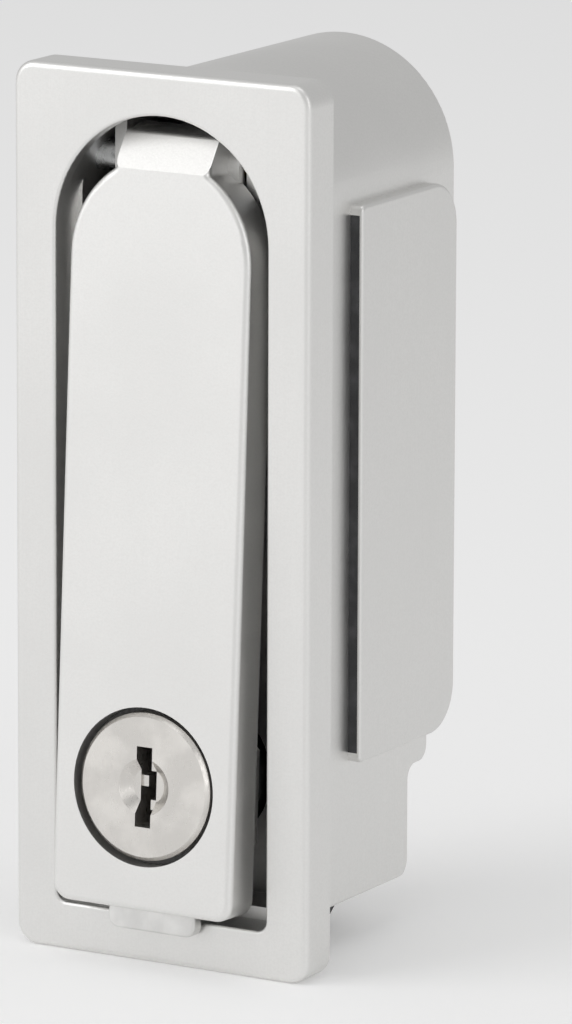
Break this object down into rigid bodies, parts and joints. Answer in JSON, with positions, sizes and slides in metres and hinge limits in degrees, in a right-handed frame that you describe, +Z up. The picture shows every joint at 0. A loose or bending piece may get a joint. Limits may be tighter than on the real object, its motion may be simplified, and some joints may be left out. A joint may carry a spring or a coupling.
{
  "type": "paddle latch",
  "caption": "Flush key-locking paddle latch: a long paddle hinged at the top of an arched recess in a cast bezel lifts out to draw a slam bolt below a deep stepped housing.",
  "frame": {"origin": "centre of the panel seat plane behind the bezel, at the middle of the bezel's width and height", "axes": "+X right as seen from outside, +Y into the panel, +Z up towards the paddle's hinge"},
  "size_m": [0.04, 0.048, 0.1064],
  "materials": {
    "cast_steel": "satin bead-blasted stainless casting",
    "paddle_steel": "satin bead-blasted stainless casting",
    "sheet_steel": "brushed stainless sheet",
    "tab_steel": "stamped stainless sheet",
    "pin_steel": "ground steel",
    "spring_steel": "drawn spring wire",
    "nickel": "satin nickel plate",
    "barrel_zinc": "zinc die casting",
    "brass": "turned brass bush",
    "zinc_plate": "zinc-plated steel",
    "seal_rubber": "black rubber",
    "bolt_nylon": "black glass-filled nylon"
  },
  "bodies": {
    "housing": {"body_casting": "cast_steel", "rear_cover": "sheet_steel", "cover_screws": "zinc_plate", "side_plate_right": "sheet_steel", "side_plate_left": "sheet_steel", "edge_strip_right": "seal_rubber", "edge_strip_left": "seal_rubber", "side_plate_screws": "zinc_plate", "pivot_pin": "pin_steel", "rocker_bracket": "zinc_plate", "bracket_screws": "zinc_plate", "rocker_pin": "pin_steel", "spring_seat": "zinc_plate", "bolt_springs": "spring_steel"},
    "paddle": {"paddle": "paddle_steel", "pivot_bushes": "brass", "pull_tab": "tab_steel", "tab_rivets": "pin_steel", "drive_pin": "pin_steel", "lock_barrel": "barrel_zinc", "barrel_clip": "spring_steel"},
    "key": {"key_plug": "nickel", "lock_cam": "zinc_plate", "cam_screw": "zinc_plate"},
    "rocker": {"rocker": "zinc_plate", "link_pin": "pin_steel"},
    "bolt": {"slam_bolt": "bolt_nylon", "bolt_link": "zinc_plate", "bolt_rivets": "pin_steel"}
  },
  "joints": [
    {"name": "paddle_lift", "type": "hinge", "parent": "housing", "child": "paddle", "pos_m": [0, 0.0035, 0.0415], "axis": [-1, 0, 0], "range_deg": [0, 35], "stiffness_Nm_per_rad": 0.15, "springref_deg": -17.19},
    {"name": "key_turn", "type": "hinge", "parent": "paddle", "child": "key", "pos_m": [0, -0.00927, -0.0309], "axis": [0, 0.9984, -0.0562], "range_deg": [0, 90]},
    {"name": "rocker_turn", "type": "hinge", "parent": "housing", "child": "rocker", "pos_m": [0, 0.02353, 0.0415], "axis": [1, 0, 0], "range_deg": [0, 35]},
    {"name": "bolt_slide", "type": "slide", "parent": "housing", "child": "bolt", "axis": [0, 0, 1], "range_m": [0, 0.00545], "deforming": ["bolt_springs"]}
  ],
  "couplings": [
    {"joint": "rocker_turn", "follows": "paddle_lift", "ratio": 1},
    {"joint": "bolt_slide", "follows": "paddle_lift", "m_per_rad": 0.008861}
  ]
}
